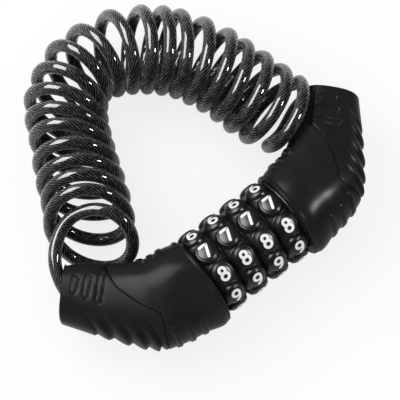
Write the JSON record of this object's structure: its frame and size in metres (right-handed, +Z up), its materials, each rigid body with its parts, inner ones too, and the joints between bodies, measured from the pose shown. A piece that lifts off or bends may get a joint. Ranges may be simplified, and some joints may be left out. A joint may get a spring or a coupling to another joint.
{
  "type": "coiled cable combination lock",
  "caption": "Combination lock with turning number dials between two bent black housings, closed into a loop by a springy coiled steel cable in a clear smoked jacket.",
  "frame": {"origin": "on the surface the lock lies on, below the middle of the box round the two housings and the dials", "axes": "+X along the dials' axis to the housing that holds the barrel, +Y from the dials to the coil, +Z up"},
  "size_m": [0.1086, 0.0985, 0.0269],
  "materials": {
    "shell_black": "satin black moulded plastic",
    "boot_black": "satin black moulded plastic, ribbed",
    "dial_black": "gloss black plastic with white numbers",
    "zinc": null,
    "steel": "plain turned steel",
    "aluminium": "crimped aluminium",
    "smoked_jacket": "clear smoked plastic over a steel rope"
  },
  "bodies": {
    "barrel_side": {"right_shell": "shell_black", "right_boot": "boot_black", "right_core": "zinc", "barrel": "zinc", "barrel_cross_pin": "steel", "right_ferrule": "aluminium", "right_ferrule_pin": "steel", "thrust_washer": "steel", "click_spring": "steel", "dial_collar": "zinc", "collar_clip": "steel", "coiled_cable": "smoked_jacket"},
    "first_dial": {"dial_1": "dial_black", "code_ring_1": "zinc"},
    "second_dial": {"dial_2": "dial_black", "code_ring_2": "zinc"},
    "third_dial": {"dial_3": "dial_black", "code_ring_3": "zinc"},
    "fourth_dial": {"dial_4": "dial_black", "code_ring_4": "zinc"},
    "pin_side": {"left_shell": "shell_black", "left_boot": "boot_black", "left_core": "zinc", "lock_pin": "steel", "lock_cross_pin": "steel", "left_ferrule": "aluminium", "left_ferrule_pin": "steel"}
  },
  "joints": [
    {"name": "first_dial_turn", "type": "hinge", "parent": "barrel_side", "child": "first_dial", "pos_m": [-0.01125, -0.00605, 0.0133], "axis": [1, 0, 0], "continuous": true},
    {"name": "second_dial_turn", "type": "hinge", "parent": "barrel_side", "child": "second_dial", "pos_m": [-0.00375, -0.00605, 0.0133], "axis": [1, 0, 0], "continuous": true},
    {"name": "third_dial_turn", "type": "hinge", "parent": "barrel_side", "child": "third_dial", "pos_m": [0.00375, -0.00605, 0.0133], "axis": [1, 0, 0], "continuous": true},
    {"name": "fourth_dial_turn", "type": "hinge", "parent": "barrel_side", "child": "fourth_dial", "pos_m": [0.01125, -0.00605, 0.0133], "axis": [1, 0, 0], "continuous": true},
    {"name": "pin_slide", "type": "slide", "parent": "barrel_side", "child": "pin_side", "axis": [-1, 0, 0], "range_m": [0, 0.036], "deforming": ["coiled_cable"]}
  ]
}
